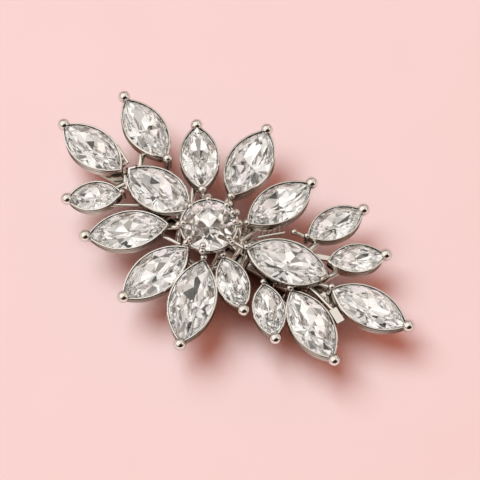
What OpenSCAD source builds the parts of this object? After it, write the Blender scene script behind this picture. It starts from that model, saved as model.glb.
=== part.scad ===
// Leaf brooch: seventeen clear navette stones set as leaves round one clear round stone,
// in a soldered and plated metal frame, with a bar pin on the back.
// Millimetres, +Z up. It lies face up on the feet of its pin, which touch z = 0.
// X runs along the brooch, and Y across it.

/* [Leaf settings] */
// Length and width of the longest leaf settings, over the rim
leaf_xl = [14.4, 7.6]; // [6:0.1:16]
// Length and width of the two raised leaf settings, over the rim
leaf_raised = [13.8, 7.45]; // [6:0.1:16]
// Length and width of a large leaf setting, over its rim
leaf_l = [13.3, 6.8]; // [6:0.1:16]
// Length and width of a medium leaf setting, over its rim
leaf_m = [12.8, 6.5]; // [6:0.1:16]
// Length and width of the wider small leaf setting, over its rim
leaf_ms = [10.4, 5.75]; // [5:0.1:16]
// Length and width of a small leaf setting, over its rim
leaf_s = [9.2, 5.3]; // [5:0.1:16]
// Length and width of the longer small leaf setting, over its rim
leaf_sl = [9.7, 5.3]; // [5:0.1:16]
// Thickness of the rim round a stone
rim_wall = 0.28; // [0.26:0.01:0.5]
// Height of the bright rail at the top of a setting
rail_h = 0.5; // [0.4:0.05:0.6]
// Height of the dark groove under the rail
groove_h = 0.4; // [0.25:0.05:0.45]
// Depth of that groove
groove_in = 0.18; // [0.12:0.01:0.2]
// Height of the upright band under the groove
band_h = 0.9; // [0.6:0.05:1.1]
// Width of the bevel on the outer edge of a rim
rim_bevel = 0.13; // [0.05:0.01:0.15]
// Thickness of the floor under a stone
floor_t = 0.35; // [0.3:0.05:0.6]

/* [Stones] */
// Height of the crown of a leaf stone, as a share of its width
crown_share = 0.19; // [0.14:0.01:0.24]
// Depth of the pavilion of a leaf stone, as a share of its width
pavilion_share = 0.32; // [0.26:0.01:0.34]
// Length of the table, as a share of the stone's length
table_share = 0.54; // [0.45:0.01:0.62]
// Thickness of the girdle
girdle_t = 0.16; // [0.1:0.01:0.2]
// Gap between a stone and the metal round it
stone_gap = 0.05; // [0.03:0.01:0.06]

/* [Center setting] */
// Radius of the center setting over its rim
center_r = 4.65; // [4.3:0.05:4.8]
// Height of the crown of the center stone
center_crown_h = 1.7; // [1.3:0.05:1.9]
// Depth of the pavilion of the center stone
center_pavilion_d = 2.8; // [2.4:0.05:2.9]
// Radius of a center claw at its foot
claw_r = 0.5; // [0.4:0.02:0.5]
// Radius of the bars from the leaves' inner tips to the center
bar_r = 0.36; // [0.3:0.02:0.4]

/* [Prongs and wires] */
// Radius of the ball on an outer prong
ball_r = 0.94; // [0.8:0.01:1]
// Radius of the post under that ball
post_r = 0.5; // [0.4:0.01:0.6]
// Radius of the ribs under the leaves
rib_r = 0.55; // [0.45:0.05:0.65]
// Radius of the thin wires between the leaves
wire_r = 0.3; // [0.25:0.01:0.35]

/* [Pin] */
// Length of the mounting bar
bar_len = 30.4; // [28:0.5:32]
// Width of the mounting bar
bar_w = 5; // [4.6:0.1:5.4]
// Thickness of the mounting bar
bar_t = 0.75; // [0.6:0.05:0.9]
// Diameter of the stem
stem_d = 0.9; // [0.8:0.05:1]
// Clear gap for cloth between the stem and the mounting bar
cloth_gap = 4.15; // [4.1:0.05:4.5]

/* [Hidden] */
LEAF_COUNT = 17;

// Fineness of the round surfaces
$fn = 72;

// Columns of the leaf table
SIZE = 0;
PLACE = 1;
HEADING = 2;
DROOP = 3;
ROLL = 4;
INNER_BEAD = 5;
FOOT = 6;
BALL_OUT = 7;

// The leaves, clockwise from the left end: size, center of the rim plane, heading of the outer tip,
// droop of that tip, roll about the length, radius of the inner prong's ball, foot of its rib on the spine,
// and how far the ball of the outer prong stands out from the tip
LEAVES = [
    [leaf_l, [-26.1, 1.5, 8.7], 170, 4, -1, 0, -22.5, -0.25],
    [leaf_l, [-20.7, 9.0, 8.7], 154, 2, 3, 0.8, -17, 0.2],
    [leaf_m, [-10.4, 9.1, 9.0], 127, 8, 0, 0.72, -7, -0.25],
    [leaf_xl, [-3.0, 12.5, 9.0], 98, 7, -3, 0.66, -2.6, -0.25],
    [leaf_l, [5.0, 8.8, 9.2], 69, 7, -1, 0.62, 2.6, -0.25],
    [leaf_ms, [14.15, 10.75, 8.5], 60, 2, 1, 0.5, 11.6, -0.15],
    [leaf_sl, [20.1, 7.42, 8.3], 42, 9, -1, 0, 16.6, -0.2],
    [leaf_l, [26.0, 1.2, 8.5], 6, 8, -1, 0.55, 22.5, -0.05],
    [leaf_raised, [11.6, 0.3, 10.2], 14, 7, 2, 0.5, 11.6, 0],
    [leaf_l, [19.8, -6.0, 8.5], 331, 1, -1, 0.62, 18.6, 0.2],
    [leaf_s, [13.0, -7.5, 8.5], 313, 3, 0, 0.5, 9.6, 0.2],
    [leaf_s, [5.9, -6.7, 8.9], 322, 7, -1, 0.6, 4.8, 0.15],
    [leaf_xl, [2.16, -12.7, 9.0], 288, 3, 0, 0.6, 0.8, 0.15],
    [leaf_l, [-5.26, -11.7, 9.0], 250, 7, -2, 0, -4.2, -0.35],
    [leaf_l, [-13.0, -7.9, 9.0], 218, 7, -2, 0, -9.6, 0.15],
    [leaf_s, [-21.1, -5.5, 8.3], 216, 8, -2, 0.45, -18.6, -0.25],
    [leaf_raised, [-12.65, 0.3, 9.9], 172, 11, -1, 0.45, -12.5, 0]
];

// How far the ball of an outer prong stands over the rim, and how far its post runs in and down to the cup
ball_rise = 0.1;
post_run = [-0.75, 0, -1.7];

// How far the ball of an inner prong laps over the tip of its stone, and how far it stands over the rim.
// The radius of its post is a share of the ball's, and the length a share of the depth of the cup.
bead_lap = 0.15;
bead_rise = 0.2;
bead_post = 0.8;
bead_post_len = 0.78;

// The two raised leaves, whose outer tips have a V-shaped guard in place of a ball, how far the guard
// reaches from the tip, and how far its top stands in from the rim
GUARDED = [8, 16];
guard_reach = 1.75;
guard_slope = 0.55;

// The leaves whose inner tips are joined to the center by a bar, and where the bars end: how far in from
// the leaf's tip, how deep under its rim, and the radius and depth in the center setting
JOINED = [2, 3, 4, 8, 11, 12, 13, 14];
bar_in = 0.75;
bar_deep = 1.4;
bar_end_r = 3;
bar_end_deep = 2;

// The round wires and the flat plates that show between the leaves: both ends, then the radius of a wire,
// or the width and thickness of a plate
WIRES = [
    [[21.7, -3.7, 7.4], [22.9, -1.5, 7.4], wire_r],
    [[15.5, -0.3, 7.5], [21.6, -2.1, 7.55], wire_r],
    [[15.8, 0.35, 7.8], [20.4, 1.3, 7.8], wire_r],
    [[9.6, -3.2, 7.4], [15.2, -5.2, 7.4], wire_r],
    [[10.2, -2.0, 7.3], [10.5, -4.5, 7.3], 0.25],
    [[-18.2, -5.3, 7.6], [-13.4, -2.4, 7.7], wire_r],
    [[-8.5, -5.2, 7.3], [-5.0, -5.0, 7.3], wire_r],
    [[9.3, 6.0, 8.2], [11.75, 6.65, 7.3], wire_r]
];
PLATES = [
    [[21.2, -2.0, 8.1], [23.4, -3.2, 8.1], 1.3, 0.6],
    [[12.7, 3.5, 8.4], [16.7, 5.3, 7.95], 0.8, 0.6]
];

// The bead at the free end of the last wire
bead_at = [9.3, 6.0, 8.2];
bead_r = 0.5;

// The ladder along the side of the first leaf, in that leaf's own directions: the ends of its rail, how
// far along the rail its rungs start, where they end in the cup, and the radius of the rail and the rungs
LADDER_RAIL = [[-2.7, -2.95, -0.4], [-6.4, -1.7, -0.4]];
LADDER_RUNGS = [
    [0.3, [-3.5, -1.95, -1.3]],
    [0.54, [-4.4, -1.45, -1.3]],
    [0.75, [-5.2, -0.9, -1.3]],
    [0.95, [-5.8, -0.35, -1.3]]
];
rail_r = 0.22;
rung_r = 0.17;

// The low rail beside the center, under the fifth leaf, and its slanted pickets
PICKET_RAIL = [[4.7, 2.6, 7.2], [7.9, 5.6, 7.2]];
PICKETS = [0.15, 0.38, 0.58, 0.78];
picket_run = [-0.6, 0.75, 1.2];
picket_rail_r = 0.28;
picket_r = 0.2;

// Top of the center setting's rim
center_at = [-1.7, -1.6, 12.3];

// Directions of the nine center claws
PRONG_ANGLES = [34, 57, 80, 124, 168, 213, 254, 289, 351];

// Shift that puts the middle of the whole over the origin
CENTERING = [-0.06, 0.17, 0];

// Heights of the pin's parts above the surface that the brooch lies on
stem_low = 0.2;
stem_z = stem_low + stem_d / 2;
bar_low = stem_low + stem_d + cloth_gap;
bar_high = bar_low + bar_t;
solder_gap = 0.05;

// The spine and the hubs from which the ribs spread
spine_w = 2.4;
spine_t = 0.8;
spine_low = bar_high + solder_gap;
spine_ends = [-23, 23];
rib_z = spine_low + rib_r + 0.05;

// Sizes of the navette outline, which is where two equal circles overlap
function arc_radius(size) = (size.x * size.x + size.y * size.y) / (4 * size.y);
function arc_offset(size) = arc_radius(size) - size.y / 2;
function tip_x(size, inset) = sqrt(pow(arc_radius(size) - inset, 2) - pow(arc_offset(size), 2));
function crown_h(size) = crown_share * size.y;
function pavilion_d(size) = pavilion_share * size.y;
function cup_depth(size) = girdle_low + pavilion_d(size) + 0.15 + floor_t;

// Depth of the girdle's lower edge under the rim, and of the lower end of the upright wall round it
girdle_low = 0.4;
seat_low = 0.5;

// How far a cup's band and its underside stand in from the rim, the latter as a share of the width,
// and half the width of the room's floor
band_in = 0.08;
cup_taper = 0.17;
room_floor_in = 0.35;

// The center setting: its band stands in this far, its stem, the depth of its cone under the stone, and the
// foot of a claw
center_band_in = 0.12;
center_stem_r = 1.5;
cone_under = 0.9;
claw_foot = [3.3, 0, -2.6];

// The gallery ring under the center: its radius, its wire and its height
ring_r = 5;
ring_wire_r = 0.45;
ring_z = 6.75;

module at_leaf(leaf) {
    translate(leaf[PLACE])
        rotate([0, 0, leaf[HEADING]])
            rotate([0, leaf[DROOP], 0])
                rotate([leaf[ROLL], 0, 0])
                    children();
}

// A point of a leaf's own space, in the brooch's space
function turned(p, a) = [p.x * cos(a) - p.y * sin(a), p.x * sin(a) + p.y * cos(a)];
function rolled(p, a) = let (q = turned([p.y, p.z], a)) [p.x, q.x, q.y];
function dropped(p, a) = let (q = turned([p.z, p.x], a)) [q.y, p.y, q.x];
function headed(p, a) = let (q = turned([p.x, p.y], a)) [q.x, q.y, p.z];
function leaf_point(leaf, p) =
    leaf[PLACE] + headed(dropped(rolled(p, leaf[ROLL]), leaf[DROOP]), leaf[HEADING]);

// A navette-shaped solid. Each point of the profile is [inset from the rim, height].
module navette(size, profile) {
    reach = arc_radius(size);
    low = profile[0].y;
    high = profile[len(profile) - 1].y;
    outline = concat([[0, low]], [for (p = profile) [reach - p.x, p.y]], [[0, high]]);
    intersection() {
        translate([0, arc_offset(size), 0]) rotate_extrude() polygon(outline);
        translate([0, -arc_offset(size), 0]) rotate_extrude() polygon(outline);
    }
}

// The outside of a leaf setting: tapered cup, band, groove and rail
module leaf_cup(size) {
    groove_top = -rail_h;
    band_top = groove_top - groove_h;
    band_low = band_top - band_h;
    navette(size, [
        [size.y * cup_taper, -cup_depth(size)],
        [band_in, band_low],
        [band_in, band_top],
        [groove_in, band_top],
        [groove_in, groove_top],
        [0, groove_top],
        [0, -rim_bevel],
        [rim_bevel, 0]
    ]);
}

// Over the rim, the room leans in a little less than the crown, from a shoulder under the crown's slope
room_lean = (1 - table_share) * 0.9;
function room_shoulder(crown) = crown * 0.25 - 0.2;

// The room that a leaf stone takes in its setting, with its gap
module leaf_room(size) {
    crown = crown_h(size);
    half_w = size.y / 2 - rim_wall;
    navette(size, [
        [size.y / 2 - room_floor_in, -cup_depth(size) + floor_t],
        [rim_wall, -seat_low],
        [rim_wall, room_shoulder(crown)],
        [rim_wall + half_w * room_lean, crown]
    ]);
}

// The ball prong at the outer tip of a leaf, on a post that slants in to the cup
module outer_prong(leaf) {
    ball_at = [leaf[SIZE].x / 2 + leaf[BALL_OUT], 0, ball_rise];
    rod(ball_at, ball_at + post_run, post_r);
    translate(ball_at) sphere(r = ball_r, $fn = 32);
}

// The smaller ball prong at the inner tip of a leaf, on an upright post
module inner_prong(leaf) {
    ball = leaf[INNER_BEAD];
    run = cup_depth(leaf[SIZE]) * bead_post_len;
    translate([bead_lap - tip_x(leaf[SIZE], rim_wall) - ball, 0, 0]) {
        translate([0, 0, -run]) cylinder(r = ball * bead_post, h = run + bead_rise, $fn = 32);
        translate([0, 0, bead_rise]) sphere(r = ball, $fn = 32);
    }
}

// The V-shaped guard over the outer tip of a raised leaf
module tip_guard(size) {
    intersection() {
        navette(size, [[0, -0.3], [0, 0.1], [guard_slope, crown_h(size) * 0.5]]);
        translate([size.x / 2, 0, -0.5])
            cylinder(r = guard_reach, h = 3);
    }
}

// A leaf setting with its prongs, on the rib that carries it, hollowed for its stone
module leaf_setting(leaf, guarded) {
    difference() {
        union() {
            at_leaf(leaf) {
                leaf_cup(leaf[SIZE]);
                if (guarded) tip_guard(leaf[SIZE]);
                else outer_prong(leaf);
                if (leaf[INNER_BEAD] > 0) inner_prong(leaf);
            }
            rib(leaf);
        }
        at_leaf(leaf) leaf_room(leaf[SIZE]);
    }
}

// The rib from its foot on the spine to the cup's underside
module rib(leaf) {
    place = leaf[PLACE];
    under = [place.x, place.y, max(place.z - cup_depth(leaf[SIZE]) + 0.25, rib_z + 0.1)];
    side = abs(place.y) < 2 ? 0 : sign(place.y) * spine_w * 0.25;
    rod([leaf[FOOT], side, rib_z], under, rib_r);
}

// The round center setting: rail, groove, cone and stem, and its claws
module center_setting() {
    cone_low = -center_pavilion_d - cone_under;
    band_r = center_r - center_band_in;
    band_top = -rail_h - groove_h;
    translate(center_at)
        difference() {
            union() {
                rotate_extrude() polygon([
                    [0, spine_low - center_at.z],
                    [center_stem_r, spine_low - center_at.z],
                    [center_stem_r, cone_low],
                    [band_r, band_top - 0.2],
                    [band_r, band_top],
                    [center_r - groove_in, band_top],
                    [center_r - groove_in, -rail_h],
                    [center_r, -rail_h],
                    [center_r, -rim_bevel],
                    [center_r - rim_bevel, 0],
                    [0, 0]
                ]);
                for (a = PRONG_ANGLES) rotate([0, 0, a]) center_prong();
            }
            center_room();
        }
}

// A claw of the center setting: it runs up outside the cone and bends in over the stone's edge
module center_prong() {
    knee = [center_r + 0.05, 0, 0.15];
    tip = [center_r - 0.6, 0, 0.75];
    rod(claw_foot, knee, claw_r * 0.9);
    translate(knee) sphere(r = claw_r + 0.06, $fn = 32);
    rod(knee, tip, claw_r * 0.85);
    translate(tip) sphere(r = claw_r, $fn = 32);
}

module center_room() {
    inner = center_r - rim_wall;
    low = -center_pavilion_d - 0.6;
    rotate_extrude() polygon([
        [0, low],
        [0.4, low],
        [inner, -seat_low],
        [inner, room_shoulder(center_crown_h)],
        [inner * (1 - room_lean), center_crown_h],
        [0, center_crown_h]
    ]);
}

// A round rod from one point to another
module rod(from, to, r) {
    run = to - from;
    turn = atan2(run.y, run.x);
    tilt = atan2(norm([run.x, run.y]), run.z);
    translate(from)
        rotate([0, tilt, turn])
            cylinder(r = r, h = norm(run), $fn = 24);
}

// A flat bar from one point to another, with its top at their height
module strip(from, to, width, thick) {
    run = to - from;
    turn = atan2(run.y, run.x);
    drop = -asin(run.z / norm(run));
    translate(from)
        rotate([0, drop, turn])
            translate([0, -width / 2, -thick])
                cube([norm(run), width, thick]);
}

// The spine and the gallery ring under the center
module skeleton() {
    translate([spine_ends[0], -spine_w / 2, spine_low])
        cube([spine_ends[1] - spine_ends[0], spine_w, spine_t]);
    translate([center_at.x, center_at.y, ring_z])
        rotate_extrude()
            translate([ring_r, 0])
                circle(r = ring_wire_r, $fn = 24);
}

// The small bars, plates and wires that show between the leaves
module links() {
    for (w = WIRES) rod(w[0], w[1], w[2]);
    for (p = PLATES) strip(p[0], p[1], p[2], p[3]);
    translate(bead_at) sphere(r = bead_r, $fn = 32);
    for (i = JOINED) center_bar(LEAVES[i]);
    ladder(LEAVES[0]);
    gallery_pickets();
}

// The bar from a leaf's inner tip to the cone of the center setting
module center_bar(leaf) {
    from = leaf_point(leaf, [bar_in - leaf[SIZE].x / 2, 0, -bar_deep]);
    away = [from.x - center_at.x, from.y - center_at.y, 0];
    rod(from, center_at + away * bar_end_r / norm(away) - [0, 0, bar_end_deep], bar_r);
}

module ladder(leaf) {
    start = LADDER_RAIL[0];
    run = LADDER_RAIL[1] - start;
    at_leaf(leaf) {
        rod(start, LADDER_RAIL[1], rail_r);
        for (r = LADDER_RUNGS) rod(start + r[0] * run, r[1], rung_r);
    }
}

module gallery_pickets() {
    start = PICKET_RAIL[0];
    run = PICKET_RAIL[1] - start;
    rod(start, PICKET_RAIL[1], picket_rail_r);
    for (share = PICKETS) rod(start + share * run, start + share * run + picket_run, picket_r);
}

module frame() {
    color("gainsboro") {
        for (i = [0:LEAF_COUNT - 1]) leaf_setting(LEAVES[i], len(search(i, GUARDED)) > 0);
        center_setting();
        skeleton();
        links();
    }
}

// Where two upright facets meet at a given height: the point whose distances along the directions
// u and v are du and dv
function meet(u, v, du, dv, z) =
    let (det = u.x * v.y - u.y * v.x)
    [(du * v.y - dv * u.y) / det, (u.x * dv - v.x * du) / det, z];

function direction(angle) = [cos(angle), sin(angle)];

// A brilliant cut with eight main facets. Corners are the eight outline points on the main facets,
// between are the outline points halfway to the next one, and angles are the facets' directions.
module brilliant(corners, between, angles, crown, pavilion, girdle_z) {
    top = girdle_z + girdle_t;
    star_z = crown * 0.5;
    fold = 0.78;
    reach = [for (i = [0:7]) corners[i] * direction(angles[i])];
    rise = [for (i = [0:7]) crown / (reach[i] * (1 - table_share))];
    crown_reach = [for (i = [0:7]) reach[i] - star_z / rise[i]];
    table = [for (p = corners) [p.x * table_share, p.y * table_share, top + crown]];
    star = [for (i = [0:7]) let (j = (i + 1) % 8)
        meet(direction(angles[i]), direction(angles[j]), crown_reach[i], crown_reach[j], top + star_z)];
    upper = [for (i = [0:7]) each [[corners[i].x, corners[i].y, top], [between[i].x, between[i].y, top]]];
    lower = [for (p = upper) [p.x, p.y, girdle_z]];
    keel = [for (i = [0:7]) let (j = (i + 1) % 8)
        meet(direction(angles[i]), direction(angles[j]), reach[i] * fold, reach[j] * fold,
            girdle_z - pavilion * (1 - fold))];
    points = concat(table, star, upper, lower, keel, [[0, 0, girdle_z - pavilion]]);
    s = 8;
    u = 16;
    l = 32;
    k = 48;
    tip = 56;
    faces = concat(
        [[for (i = [7:-1:0]) i]],
        [for (i = [0:7]) [i, (i + 1) % 8, s + i]],
        [for (i = [0:7]) [i, s + i, u + 2 * i, s + (i + 7) % 8]],
        [for (i = [0:7]) [s + i, u + 2 * i + 1, u + 2 * i]],
        [for (i = [0:7]) [s + i, u + (2 * i + 2) % 16, u + 2 * i + 1]],
        [for (i = [0:15]) [u + i, u + (i + 1) % 16, l + (i + 1) % 16, l + i]],
        [for (i = [0:7]) [k + i, l + 2 * i, l + 2 * i + 1]],
        [for (i = [0:7]) [k + i, l + 2 * i + 1, l + (2 * i + 2) % 16]],
        [for (i = [0:7]) [tip, k + (i + 7) % 8, l + 2 * i, k + i]]
    );
    polyhedron(points, faces);
}

// A point of the navette outline where the outline faces the given angle. Angles nearer to the length
// than the tip's own give the tip.
function navette_point(size, inset, angle) =
    let (
        reach = arc_radius(size) - inset,
        tip_angle = asin(arc_offset(size) / reach),
        side = sin(angle) < 0 ? -1 : 1
    )
    abs(sin(angle)) < sin(tip_angle)
        ? [reach * cos(tip_angle) * sign(cos(angle)), 0]
        : [reach * cos(angle), reach * sin(angle) - side * arc_offset(size)];

module leaf_stone(leaf) {
    size = leaf[SIZE];
    inset = rim_wall + stone_gap;
    tip_angle = asin(arc_offset(size) / (arc_radius(size) - inset));
    quarter = (tip_angle + 90) / 2;
    near_tip = (tip_angle + quarter) / 2;
    near_waist = (quarter + 90) / 2;
    angles = [0, quarter, 90, 180 - quarter, 180, 180 + quarter, 270, 360 - quarter];
    halves = [near_tip, near_waist, 180 - near_waist, 180 - near_tip,
        180 + near_tip, 180 + near_waist, 360 - near_waist, 360 - near_tip];
    color("white")
        at_leaf(leaf)
            brilliant(
                [for (a = angles) navette_point(size, inset, a)],
                [for (a = halves) navette_point(size, inset, a)],
                angles, crown_h(size), pavilion_d(size), -girdle_low
            );
}

module center_stone() {
    r = center_r - rim_wall - stone_gap;
    angles = [for (i = [0:7]) 45 * i];
    color("white")
        translate(center_at)
            rotate([0, 0, 13])
                brilliant(
                    [for (a = angles) r * direction(a)],
                    [for (a = angles) r * direction(a + 22.5)],
                    angles, center_crown_h, center_pavilion_d, -girdle_low
                );
}

// The hidden pin: mounting bar, hinge barrel, stem and catch
module pin_back() {
    pin_y = 0;
    hinge_x = 13.2;
    catch_x = -13.2;
    hinge_w = 4.6;
    barrel_r = 1.2;
    color("silver")
        translate([0, pin_y, 0]) {
            translate([-bar_len / 2, -bar_w / 2, bar_low])
                cube([bar_len, bar_w, bar_t]);
            translate([hinge_x, hinge_w / 2, barrel_r])
                rotate([90, 0, 0])
                    cylinder(r = barrel_r, h = hinge_w);
            translate([hinge_x - 0.4, -hinge_w / 2, barrel_r])
                cube([barrel_r + 0.4, hinge_w, bar_low - barrel_r + 0.1]);
            translate([catch_x, 0, stem_z])
                rotate([0, 90, 0])
                    cylinder(d = stem_d, h = hinge_x - catch_x, $fn = 32);
            translate([catch_x, 0, stem_z])
                rotate([0, -90, 0])
                    cylinder(d1 = stem_d, d2 = 0.1, h = 2.4, $fn = 32);
            pin_catch(catch_x);
        }
}

// The catch: a C-shaped strip open on one side, on a leg under the bar
module pin_catch(x) {
    width = 3.6;
    length = 3;
    wall = 0.5;
    height = 2.6;
    translate([x - length / 2, -width / 2, 0]) {
        cube([length, width, wall]);
        cube([length, wall, height]);
        translate([0, 0, height - wall])
            cube([length, width * 0.62, wall]);
        cube([length, wall, bar_low + 0.1]);
    }
}

translate(CENTERING) {
    frame();
    pin_back();
    center_stone();
    for (i = [1:LEAF_COUNT])
        leaf_stone(LEAVES[i - 1]);
}
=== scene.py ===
import math

import bpy
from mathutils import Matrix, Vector

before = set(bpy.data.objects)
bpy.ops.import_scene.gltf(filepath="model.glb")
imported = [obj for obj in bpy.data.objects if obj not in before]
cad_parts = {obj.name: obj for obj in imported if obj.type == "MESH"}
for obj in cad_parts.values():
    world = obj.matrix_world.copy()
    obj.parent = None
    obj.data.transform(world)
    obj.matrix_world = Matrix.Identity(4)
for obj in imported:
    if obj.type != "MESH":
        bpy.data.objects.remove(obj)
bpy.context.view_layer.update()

# Lengths are in metres, but the camera's and the key light's places are in millimetres.
MM = 0.001
LEAF_COUNT = 17

# Directions in the picture, as seen from above
PICTURE_RIGHT = Vector((0.848, 0.530, 0.0))
PICTURE_AWAY = Vector((-0.530, 0.848, 0.0))

# Camera: the photograph's view, in the part's frame
CAMERA_AT = (64.76, -98.77, 262.3)
LOOK_AT = (2.70, 0.54, 8.0)
LENS = 132.9
SENSOR_WIDTH = 36.0
NEAR_CLIP = 0.01
FAR_CLIP = 20.0

# What shines through the stones: pale panels with a few dark gaps. Tones are linear colors.
PANEL_SCALE = 3.3
PANEL_DETAIL = 1.5
PANEL_SHIFT = (7.7, 2.2, 1.1)
PANEL_TONES = [
    (0.365, (0.035, 0.035, 0.03)),
    (0.395, (0.31, 0.285, 0.255)),
    (0.44, (0.63, 0.585, 0.54)),
    (0.50, (0.88, 0.83, 0.785)),
    (0.57, (1.21, 1.15, 1.095)),
]
PANEL_HORIZON = [
    (0.0, (0.86, 0.80, 0.77)),
    (0.25, (0.94, 0.91, 0.89)),
    (0.55, (1.0, 1.0, 1.0)),
]

# What the metal mirrors: a dim warm room that is palest overhead, and spots in it.
# Each spot is a direction (right, away, up in the picture), its inner and outer angle, and its tone.
ROOM_TONES = [
    (0.0, (0.36, 0.29, 0.235)),
    (0.3, (0.33, 0.26, 0.21)),
    (0.6, (0.46, 0.40, 0.345)),
    (1.0, (0.62, 0.56, 0.505)),
]
ROOM_SPOTS = [
    ((-0.52, -0.02, 0.86), 42.0, 48.0, (1.10, 1.06, 1.0)),
    ((0.45, 0.50, 0.75), 15.0, 38.0, (0.82, 0.76, 0.69)),
    ((0.87, -0.10, 0.48), 12.0, 18.0, (1.1, 1.07, 1.02)),
    ((0.26, -0.84, 0.46), 36.0, 46.0, (0.035, 0.022, 0.016)),
]

# The even light on the floor, and what low views show behind it
AMBIENT_LIGHT = (0.48, 0.192, 0.1296)
BACKDROP_COLOR = (0.93, 0.68, 0.65)

# The key light, which casts the shadow. Its place is right, away and up in the picture.
KEY_PLACE = (-650.0, 400.0, 1680.0)
KEY_AIM = (0.0, 0.0, 6.0)
KEY_SIZE = 1344.0
KEY_POWER = 39.4
KEY_COLOR = (0.580, 0.884, 0.969)

# The paper: its color, its faint flecks, and the painted tones, not its own color, in which the metal
# mirrors it and the stones show it
FLOOR_HALF = 1.5
FLOOR_COLOR = (0.93, 0.64, 0.605)
FLOOR_FLECK = (0.91, 0.61, 0.575)
FLOOR_MIRRORED = (0.95, 0.75, 0.69)
FLOOR_REFRACTED = (0.93, 0.81, 0.79)
FLOOR_ROUGHNESS = 0.9
FLOOR_SPECULAR = 0.2
FIBRE_SCALE = 60.0
FIBRE_DETAIL = 4.0

# The painted shade that darkens the paper under and close to the brooch, and how far off that reaches
FLOOR_SHADES = [
    (0.26, (0.08, 0.045, 0.03)),
    (0.38, (0.27, 0.17, 0.135)),
    (0.47, (0.66, 0.56, 0.52)),
    (0.62, (1.0, 1.0, 1.0)),
]
SHADE_REACH = 0.011
SHADE_SAMPLES = 12

# The metals: color, the painted shade in the recesses, and roughness. Both take one tint at grazing
# angles.
PLATING = ((0.91, 0.875, 0.83), (0.24, 0.15, 0.10), 0.06)
PIN_STEEL = ((0.78, 0.77, 0.75), (0.22, 0.18, 0.16), 0.12)
METAL_EDGE = (0.12, 0.09, 0.07, 1.0)

# Handling marks vary the metal's roughness and rub its color
MARK_SCALE = 900.0
MARK_DETAIL = 3.0
MARK_ROUGHNESS = 0.6
MARK_RANGE = (0.3, 0.75)
GLOSS_RANGE = (0.7, 1.6)
RUBBED_SHARE = 0.92

# How far off a wall still makes a recess, and the open shares between full painted shade and none
RECESS_REACH = 0.0017
RECESS_RANGE = (0.10, 0.52)
RECESS_SAMPLES = 8

# The softened edges and the faint ripple of the plating
EDGE_RADIUS = 0.00006
EDGE_SAMPLES = 4
RIPPLE_SCALE = 700.0
RIPPLE_DETAIL = 1.0
RIPPLE_STRENGTH = 0.12
RIPPLE_DEPTH = 0.0001

# The stones: the glass, the foil behind each facet that faces up by less than the limit, and the fine
# lines along the edges of the facets. A line begins and is full at two dot products of the facet's
# normal and the softened one.
GLASS_IOR = 1.56
FOIL_ROUGHNESS = 0.05
FOIL_LIMIT = 0.2
LINE_COLOR = (0.28, 0.27, 0.245, 1.0)
LINE_ROUGHNESS = 0.25
LINE_BEND = (0.999, 0.992)

# Each kind of stone: the tone of its foil, and the width and strength of its lines
LEAF_STONE = (0.97, 0.00006, 0.5)
CENTER_STONE = (1.0, 0.00009, 0.7)

# The sockets of a color mix node: the share, and the two colors
MIX_SHARE = 0
MIX_FIRST = 6
MIX_SECOND = 7
MIX_RESULT = 2


def point_at(obj, target):
    """Turns an object so that its -Z axis looks at the target, given in metres."""
    aim = Vector(target) - obj.location
    obj.rotation_euler = aim.to_track_quat("-Z", "Y").to_euler()


def picture_direction(right, away, up):
    """Turns a direction in the picture into one in the part's frame."""
    return PICTURE_RIGHT * right + PICTURE_AWAY * away + Vector((0.0, 0.0, up))


def add_camera():
    data = bpy.data.cameras.new("camera")
    data.lens = LENS
    data.sensor_width = SENSOR_WIDTH
    data.clip_start = NEAR_CLIP
    data.clip_end = FAR_CLIP
    camera = bpy.data.objects.new("camera", data)
    camera.location = Vector(CAMERA_AT) * MM
    bpy.context.scene.collection.objects.link(camera)
    point_at(camera, Vector(LOOK_AT) * MM)
    bpy.context.scene.camera = camera


def add_key_light():
    """A large round light that lights the paper and stays out of the reflections."""
    data = bpy.data.lights.new("key", "AREA")
    data.shape = "DISK"
    data.size = KEY_SIZE * MM
    data.energy = KEY_POWER
    data.color = KEY_COLOR
    light = bpy.data.objects.new("key", data)
    light.location = picture_direction(*KEY_PLACE) * MM
    bpy.context.scene.collection.objects.link(light)
    point_at(light, Vector(KEY_AIM) * MM)
    light.visible_glossy = False
    light.visible_transmission = False


def new_material(name):
    material = bpy.data.materials.new(name)
    material.use_nodes = True
    tree = material.node_tree
    tree.nodes.clear()
    output = tree.nodes.new("ShaderNodeOutputMaterial")
    return material, tree, output


def set_inputs(node, **values):
    """Sets sockets by name, with an underscore for each space."""
    for name, value in values.items():
        node.inputs[name.replace("_", " ")].default_value = value


def add_ramp(tree, value, stops):
    """Returns the color that the stops give for a value. Each stop is a place and a color."""
    ramp = tree.nodes.new("ShaderNodeValToRGB")
    elements = ramp.color_ramp.elements
    for element, (place, color) in zip((elements[0], elements[1]), (stops[0], stops[-1])):
        element.position = place
        element.color = (*color, 1.0)
    for place, color in stops[1:-1]:
        elements.new(place).color = (*color, 1.0)
    tree.links.new(value, ramp.inputs["Fac"])
    return ramp.outputs["Color"]


def add_mix(tree, share, first, second, mode="MIX"):
    """Mixes two colors. Each is a socket or a plain color."""
    mix = tree.nodes.new("ShaderNodeMix")
    mix.data_type = "RGBA"
    mix.blend_type = mode
    for place, value in ((MIX_SHARE, share), (MIX_FIRST, first), (MIX_SECOND, second)):
        if isinstance(value, bpy.types.NodeSocket):
            tree.links.new(value, mix.inputs[place])
        elif place == MIX_SHARE:
            mix.inputs[place].default_value = value
        else:
            mix.inputs[place].default_value = (*value, 1.0)
    return mix.outputs[MIX_RESULT]


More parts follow.
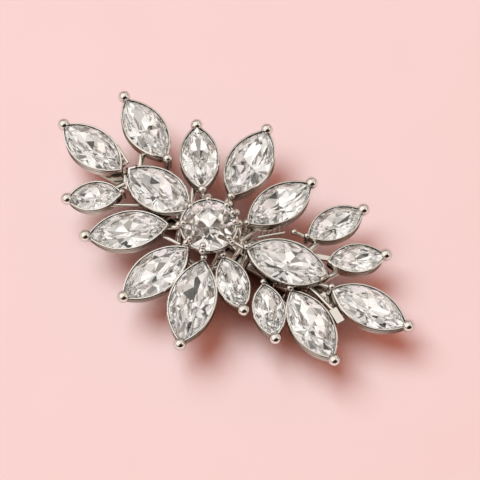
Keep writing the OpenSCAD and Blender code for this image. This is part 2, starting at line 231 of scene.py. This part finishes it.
def add_shader_mix(tree, share, first, second):
    """Mixes two shaders, given as sockets like the share between them."""
    mix = tree.nodes.new("ShaderNodeMixShader")
    tree.links.new(share, mix.inputs["Fac"])
    tree.links.new(first, mix.inputs[1])
    tree.links.new(second, mix.inputs[2])
    return mix.outputs["Shader"]


def add_noise(tree, coordinates, **values):
    noise = tree.nodes.new("ShaderNodeTexNoise")
    set_inputs(noise, **values)
    tree.links.new(coordinates, noise.inputs["Vector"])
    return noise.outputs["Fac"]


def add_open_share(tree, reach, samples):
    """Returns how open the surroundings are, from 0 to 1, within a reach."""
    node = tree.nodes.new("ShaderNodeAmbientOcclusion")
    node.samples = samples
    set_inputs(node, Distance=reach)
    return node.outputs["AO"]


def floor_material():
    """Pale pink paper with painted shade close to the brooch. The metal and the stones show it in paler
    painted tones.
    """
    material, tree, output = new_material("floor_paper")
    coordinates = tree.nodes.new("ShaderNodeTexCoord").outputs["Object"]
    fibre = add_noise(tree, coordinates, Scale=FIBRE_SCALE, Detail=FIBRE_DETAIL)
    # Painted shade: the paper darkens where the brooch closes in over it
    shade = add_ramp(tree, add_open_share(tree, SHADE_REACH, SHADE_SAMPLES), FLOOR_SHADES)
    flecked = add_mix(tree, fibre, FLOOR_COLOR, FLOOR_FLECK)
    paper = tree.nodes.new("ShaderNodeBsdfPrincipled")
    set_inputs(paper, Roughness=FLOOR_ROUGHNESS, Specular_IOR_Level=FLOOR_SPECULAR)
    tree.links.new(add_mix(tree, 1.0, flecked, shade, "MULTIPLY"), paper.inputs["Base Color"])

    # Painted reflections: the metal and the stones see the paper in set paler tones, darkened by the
    # painted shade
    rays = tree.nodes.new("ShaderNodeLightPath")
    seen = paper.outputs["BSDF"]
    for kind, tone in (("Is Glossy Ray", FLOOR_MIRRORED), ("Is Transmission Ray", FLOOR_REFRACTED)):
        toned = tree.nodes.new("ShaderNodeBsdfDiffuse")
        tree.links.new(add_mix(tree, 1.0, tone, shade, "MULTIPLY"), toned.inputs["Color"])
        seen = add_shader_mix(tree, rays.outputs[kind], seen, toned.outputs["BSDF"])
    tree.links.new(seen, output.inputs["Surface"])
    return material


def add_floor():
    mesh = bpy.data.meshes.new("floor")
    corners = [(FLOOR_HALF * x, FLOOR_HALF * y, 0.0) for x, y in ((-1, -1), (1, -1), (1, 1), (-1, 1))]
    mesh.from_pydata(corners, [], [(0, 1, 2, 3)])
    floor = bpy.data.objects.new("floor", mesh)
    bpy.context.scene.collection.objects.link(floor)
    mesh.materials.append(floor_material())


def metal_material(name, color, recess_shade, roughness):
    """Bright metal: a mirror with fine handling marks, softened edges and painted shade in its recesses.
    """
    material, tree, output = new_material(name)
    shader = tree.nodes.new("ShaderNodeBsdfPrincipled")
    set_inputs(shader, Metallic=1.0, Specular_Tint=METAL_EDGE)
    coordinates = tree.nodes.new("ShaderNodeTexCoord").outputs["Object"]

    marks = add_noise(tree, coordinates, Scale=MARK_SCALE, Detail=MARK_DETAIL, Roughness=MARK_ROUGHNESS)
    gloss = tree.nodes.new("ShaderNodeMapRange")
    set_inputs(gloss, From_Min=MARK_RANGE[0], From_Max=MARK_RANGE[1])
    set_inputs(gloss, To_Min=roughness * GLOSS_RANGE[0], To_Max=roughness * GLOSS_RANGE[1])
    tree.links.new(marks, gloss.inputs["Value"])
    tree.links.new(gloss.outputs["Result"], shader.inputs["Roughness"])

    # Painted shade: the metal turns dark brown where nearby walls close in over it
    share = tree.nodes.new("ShaderNodeMapRange")
    set_inputs(share, From_Min=RECESS_RANGE[0], From_Max=RECESS_RANGE[1])
    tree.links.new(add_open_share(tree, RECESS_REACH, RECESS_SAMPLES), share.inputs["Value"])
    rubbed = tuple(tone * RUBBED_SHARE for tone in color)
    bright = add_mix(tree, marks, color, rubbed)
    tree.links.new(add_mix(tree, share.outputs["Result"], recess_shade, bright), shader.inputs["Base Color"])

    soft_edge = tree.nodes.new("ShaderNodeBevel")
    soft_edge.samples = EDGE_SAMPLES
    set_inputs(soft_edge, Radius=EDGE_RADIUS)
    bump = tree.nodes.new("ShaderNodeBump")
    set_inputs(bump, Strength=RIPPLE_STRENGTH, Distance=RIPPLE_DEPTH)
    ripple = add_noise(tree, coordinates, Scale=RIPPLE_SCALE, Detail=RIPPLE_DETAIL)
    tree.links.new(ripple, bump.inputs["Height"])
    tree.links.new(soft_edge.outputs["Normal"], bump.inputs["Normal"])
    tree.links.new(bump.outputs["Normal"], shader.inputs["Normal"])

    tree.links.new(shader.outputs["BSDF"], output.inputs["Surface"])
    return material


def add_facing_down(tree, geometry):
    """Returns a socket that is 1 on the facets whose outer side doesn't face up."""
    axes = tree.nodes.new("ShaderNodeSeparateXYZ")
    tree.links.new(geometry.outputs["True Normal"], axes.inputs["Vector"])
    side = tree.nodes.new("ShaderNodeMapRange")
    set_inputs(side, From_Min=0.0, From_Max=1.0, To_Min=1.0, To_Max=-1.0)
    tree.links.new(geometry.outputs["Backfacing"], side.inputs["Value"])
    up = tree.nodes.new("ShaderNodeMath")
    up.operation = "MULTIPLY"
    tree.links.new(axes.outputs["Z"], up.inputs[0])
    tree.links.new(side.outputs["Result"], up.inputs[1])
    faces_down = tree.nodes.new("ShaderNodeMath")
    faces_down.operation = "LESS_THAN"
    faces_down.inputs[1].default_value = FOIL_LIMIT
    tree.links.new(up.outputs["Value"], faces_down.inputs[0])
    return faces_down.outputs["Value"]


def add_facet_lines(tree, geometry, width, strength):
    """Returns a socket that rises to the strength on the edges between facets."""
    softened = tree.nodes.new("ShaderNodeBevel")
    softened.samples = EDGE_SAMPLES
    set_inputs(softened, Radius=width)
    dot = tree.nodes.new("ShaderNodeVectorMath")
    dot.operation = "DOT_PRODUCT"
    tree.links.new(softened.outputs["Normal"], dot.inputs[0])
    tree.links.new(geometry.outputs["Normal"], dot.inputs[1])
    edge = tree.nodes.new("ShaderNodeMapRange")
    set_inputs(edge, From_Min=LINE_BEND[0], From_Max=LINE_BEND[1], To_Min=0.0, To_Max=strength)
    tree.links.new(dot.outputs["Value"], edge.inputs["Value"])
    return edge.outputs["Result"]


def stone_material(name, foil_tone, line_width, line_strength):
    """Clear glass. Its pavilion and girdle, which don't face up, have a silver foil behind them."""
    material, tree, output = new_material(name)
    glass = tree.nodes.new("ShaderNodeBsdfGlass")
    set_inputs(glass, IOR=GLASS_IOR, Roughness=0.0, Color=(1.0, 1.0, 1.0, 1.0))
    foil = tree.nodes.new("ShaderNodeBsdfAnisotropic")
    set_inputs(foil, Roughness=FOIL_ROUGHNESS, Color=(foil_tone, foil_tone, foil_tone, 1.0))
    line = tree.nodes.new("ShaderNodeBsdfAnisotropic")
    set_inputs(line, Roughness=LINE_ROUGHNESS, Color=LINE_COLOR)

    geometry = tree.nodes.new("ShaderNodeNewGeometry")
    on_foil = add_facing_down(tree, geometry)
    backed = add_shader_mix(tree, on_foil, glass.outputs["BSDF"], foil.outputs["BSDF"])
    on_line = add_facet_lines(tree, geometry, line_width, line_strength)
    lined = add_shader_mix(tree, on_line, backed, line.outputs["BSDF"])
    tree.links.new(lined, output.inputs["Surface"])
    return material


def dress(node, material):
    """Gives every slot of a CAD node one material."""
    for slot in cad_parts[node].material_slots:
        slot.material = material


def add_spot(tree, coordinates, direction, inner, outer):
    """Returns a socket that is 1 within the inner angle of a direction, and 0 beyond the outer angle."""
    dot = tree.nodes.new("ShaderNodeVectorMath")
    dot.operation = "DOT_PRODUCT"
    dot.inputs[1].default_value = Vector(direction).normalized()
    tree.links.new(coordinates, dot.inputs[0])
    fade = tree.nodes.new("ShaderNodeMapRange")
    fade.interpolation_type = "SMOOTHSTEP"
    set_inputs(fade, From_Min=math.cos(math.radians(outer)), From_Max=math.cos(math.radians(inner)))
    tree.links.new(dot.outputs["Value"], fade.inputs["Value"])
    return fade.outputs["Result"]


def add_room(tree, coordinates, height):
    """Returns the color of the room that the metal mirrors."""
    color = add_ramp(tree, height, ROOM_TONES)
    for direction, inner, outer, tone in ROOM_SPOTS:
        spot = add_spot(tree, coordinates, picture_direction(*direction), inner, outer)
        color = add_mix(tree, spot, color, tone)
    return color


def add_panels(tree, coordinates, height):
    """Returns the color of the panels that shine through the stones."""
    shifted = tree.nodes.new("ShaderNodeVectorMath")
    shifted.inputs[1].default_value = PANEL_SHIFT
    tree.links.new(coordinates, shifted.inputs[0])
    panels = add_noise(tree, shifted.outputs["Vector"], Scale=PANEL_SCALE, Detail=PANEL_DETAIL)
    horizon = add_ramp(tree, height, PANEL_HORIZON)
    return add_mix(tree, 1.0, add_ramp(tree, panels, PANEL_TONES), horizon, "MULTIPLY")


def add_background(tree, color):
    """A background of a plain color or of a socket."""
    background = tree.nodes.new("ShaderNodeBackground")
    if isinstance(color, bpy.types.NodeSocket):
        tree.links.new(color, background.inputs["Color"])
    else:
        set_inputs(background, Color=(*color, 1.0))
    return background.outputs["Background"]


def add_world():
    """A studio in four parts: room for the metal, panels for the stones, even light, and backdrop."""
    world = bpy.data.worlds.new("studio")
    world.use_nodes = True
    tree = world.node_tree
    tree.nodes.clear()
    output = tree.nodes.new("ShaderNodeOutputWorld")
    coordinates = tree.nodes.new("ShaderNodeTexCoord").outputs["Generated"]
    axes = tree.nodes.new("ShaderNodeSeparateXYZ")
    tree.links.new(coordinates, axes.inputs["Vector"])
    height = axes.outputs["Z"]

    rays = tree.nodes.new("ShaderNodeLightPath")
    lit = add_background(tree, add_room(tree, coordinates, height))
    parts = (
        ("Is Transmission Ray", add_panels(tree, coordinates, height)),
        ("Is Diffuse Ray", AMBIENT_LIGHT),
        ("Is Camera Ray", BACKDROP_COLOR),
    )
    for kind, color in parts:
        lit = add_shader_mix(tree, rays.outputs[kind], lit, add_background(tree, color))
    tree.links.new(lit, output.inputs["Surface"])
    bpy.context.scene.world = world


add_camera()
add_floor()
add_world()
add_key_light()

plating = metal_material("bright_plating", *PLATING)
pin_metal = metal_material("pin_steel", *PIN_STEEL)
leaf_glass = stone_material("leaf_glass", *LEAF_STONE)
center_glass = stone_material("center_glass", *CENTER_STONE)

dress("frame", plating)
dress("pin_back", pin_metal)
dress("center_stone", center_glass)
for number in range(1, LEAF_COUNT + 1):
    dress(f"leaf_stone_{number}", leaf_glass)

# Light has to bounce often inside the cut stones
scene = bpy.context.scene
scene.view_settings.view_transform = "Standard"
scene.cycles.max_bounces = 32
scene.cycles.transmission_bounces = 16
scene.cycles.glossy_bounces = 24
